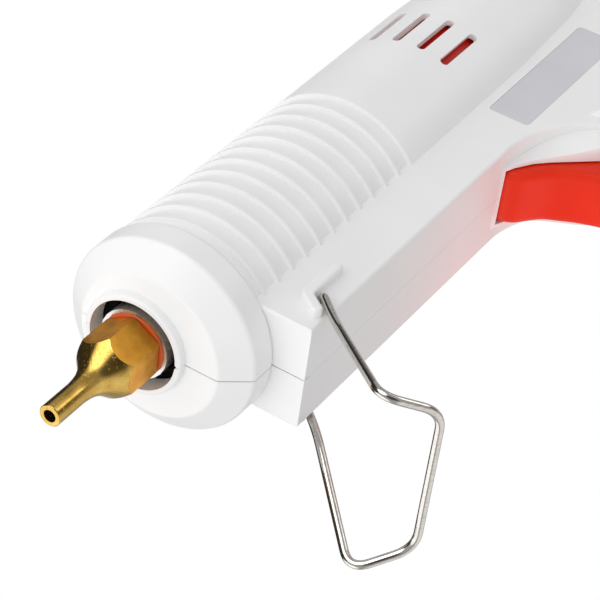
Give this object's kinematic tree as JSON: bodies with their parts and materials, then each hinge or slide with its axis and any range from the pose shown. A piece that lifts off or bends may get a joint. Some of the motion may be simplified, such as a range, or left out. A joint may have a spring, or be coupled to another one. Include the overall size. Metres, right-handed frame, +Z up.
{
  "type": "hot glue gun",
  "caption": "Hot glue gun with a ribbed barrel, brass nozzle, lever trigger, flat-based handle and a folding wire stand.",
  "frame": {"origin": "middle of the bounding box at the level of the ground on which the gun stands", "axes": "+Z up, -X towards the nozzle, Y across the gun with its seam at Y = 0"},
  "size_m": [0.2878, 0.0516, 0.16],
  "materials": {
    "housing": "moulded heat-resistant plastic, satin white",
    "nozzle": "turned brass, heat tinted",
    "washer": "orange-red silicone",
    "chamber": "die-cast aluminium",
    "insulator": "moulded phenolic, black",
    "heater": "ceramic heating plate",
    "steel": "zinc-plated steel",
    "sleeve": "moulded silicone",
    "guide": "moulded nylon, dark grey",
    "carriage": "moulded nylon, red",
    "trigger": "moulded plastic, orange-red",
    "wire": "nickel-plated spring wire",
    "plate": "grey film plate",
    "gland": "black rubber",
    "lead": "silicone-covered wire"
  },
  "bodies": {
    "housing": {"housing_left": "housing", "housing_right": "housing", "nozzle": "nozzle", "nozzle_washer": "washer", "heater_chamber": "chamber", "front_insulator": "insulator", "rear_insulator": "insulator", "heater_element": "heater", "heater_clip": "steel", "stick_sleeve": "sleeve", "sleeve_clip": "steel", "guide_tube": "guide", "inlet_collar": "guide", "trigger_pin": "steel", "return_spring": "steel", "label_plate": "plate", "terminal_block": "heater", "heater_lead_left": "lead", "heater_lead_right": "lead", "cord_gland": "gland", "housing_screw_1": "steel", "housing_screw_2": "steel", "housing_screw_3": "steel", "housing_screw_4": "steel", "housing_screw_5": "steel"},
    "stand": {"wire_stand": "wire"},
    "lever": {"trigger": "trigger", "link_pin_left": "steel", "link_pin_right": "steel"},
    "links": {"link_left": "steel", "link_right": "steel"},
    "carriage": {"carriage": "carriage", "jaw_pin": "steel"},
    "jaw": {"gripper_jaw": "steel", "jaw_link_pin": "steel"}
  },
  "joints": [
    {"name": "stand_fold", "type": "hinge", "parent": "housing", "child": "stand", "pos_m": [-0.07836, 0, 0.04862], "axis": [0, -1, 0], "range_deg": [0, 108]},
    {"name": "trigger_pull", "type": "hinge", "parent": "housing", "child": "lever", "pos_m": [-0.0018, 0, 0.08203], "axis": [0, -1, 0], "range_deg": [0, 20], "stiffness_Nm_per_rad": 0.8, "springref_deg": -11.46},
    {"name": "link_swing", "type": "hinge", "parent": "lever", "child": "links", "pos_m": [-0.00511, 0, 0.09849], "axis": [0, 1, 0], "range_deg": [0, 20]},
    {"name": "carriage_slide", "type": "slide", "parent": "housing", "child": "carriage", "axis": [-0.9272, 0, -0.3746], "range_m": [0, 0.0051], "deforming": ["return_spring"]},
    {"name": "jaw_bite", "type": "hinge", "parent": "carriage", "child": "jaw", "pos_m": [0.00366, 0, 0.10721], "axis": [0, 1, 0], "range_deg": [0, 6]}
  ],
  "couplings": [
    {"joint": "link_swing", "follows": "trigger_pull", "ratio": 1},
    {"joint": "carriage_slide", "follows": "trigger_pull", "m_per_rad": 0.01461},
    {"joint": "jaw_bite", "follows": "trigger_pull", "ratio": 0.2999}
  ]
}
